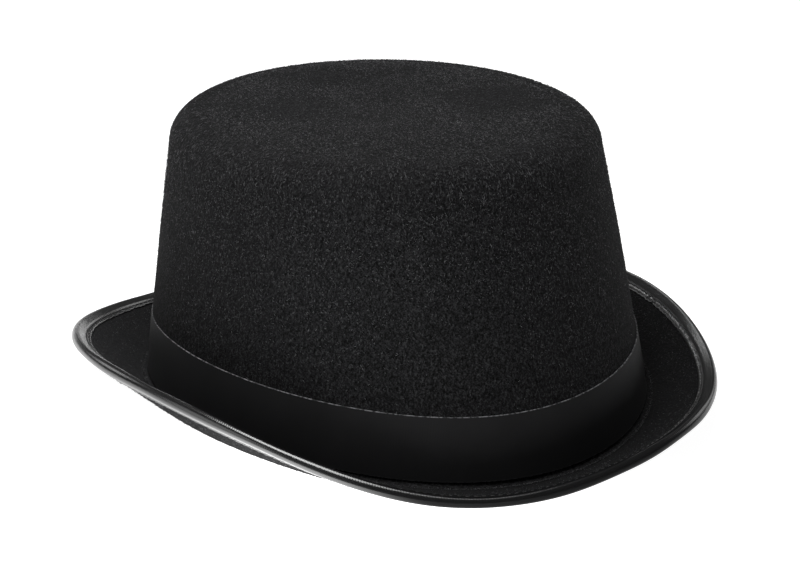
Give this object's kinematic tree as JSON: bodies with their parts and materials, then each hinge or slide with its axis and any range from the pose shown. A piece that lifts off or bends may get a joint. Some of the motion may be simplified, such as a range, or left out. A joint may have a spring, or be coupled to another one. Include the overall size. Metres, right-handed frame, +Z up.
{
  "type": "top hat",
  "caption": "Black felt top hat with a low tapered crown, a satin ribbon band and a narrow curled brim with a wired, satin-bound edge.",
  "frame": {"origin": "on the standing surface, under the middle of the hat", "axes": "+Z up through the crown, -Y the front, +X the wearer's left, +Y the back"},
  "size_m": [0.221, 0.2646, 0.1083],
  "materials": {
    "felt": "soft charcoal black wool felt with short fibres",
    "ribbon": "black satin ribbon with a fine woven selvedge",
    "binding": "glossy black satin bias tape",
    "thread": "black polyester thread",
    "wire": "drawn spring steel",
    "sleeve": "crimped",
    "sweatband": "black grosgrain",
    "lining": "black satin",
    "label": "white satin tape, blank",
    "white_thread": "white polyester thread"
  },
  "bodies": {
    "hat": {"felt_body": "felt", "hat_band": "ribbon", "band_join_stitches": "thread", "brim_binding": "binding", "binding_stitches": "thread", "brim_wire": "wire", "wire_joiner": "sleeve", "sweatband": "sweatband", "sweatband_stitches": "thread", "lining_side": "lining", "lining_tip": "lining", "lining_seam_stitches": "thread", "label_stitches": "white_thread"},
    "label": {"care_label": "label"}
  },
  "joints": [
    {"name": "label_flap", "type": "hinge", "parent": "hat", "child": "label", "pos_m": [0, 0.09552, 0.02926], "axis": [-1, 0, 0], "range_deg": [-5, 100]}
  ]
}
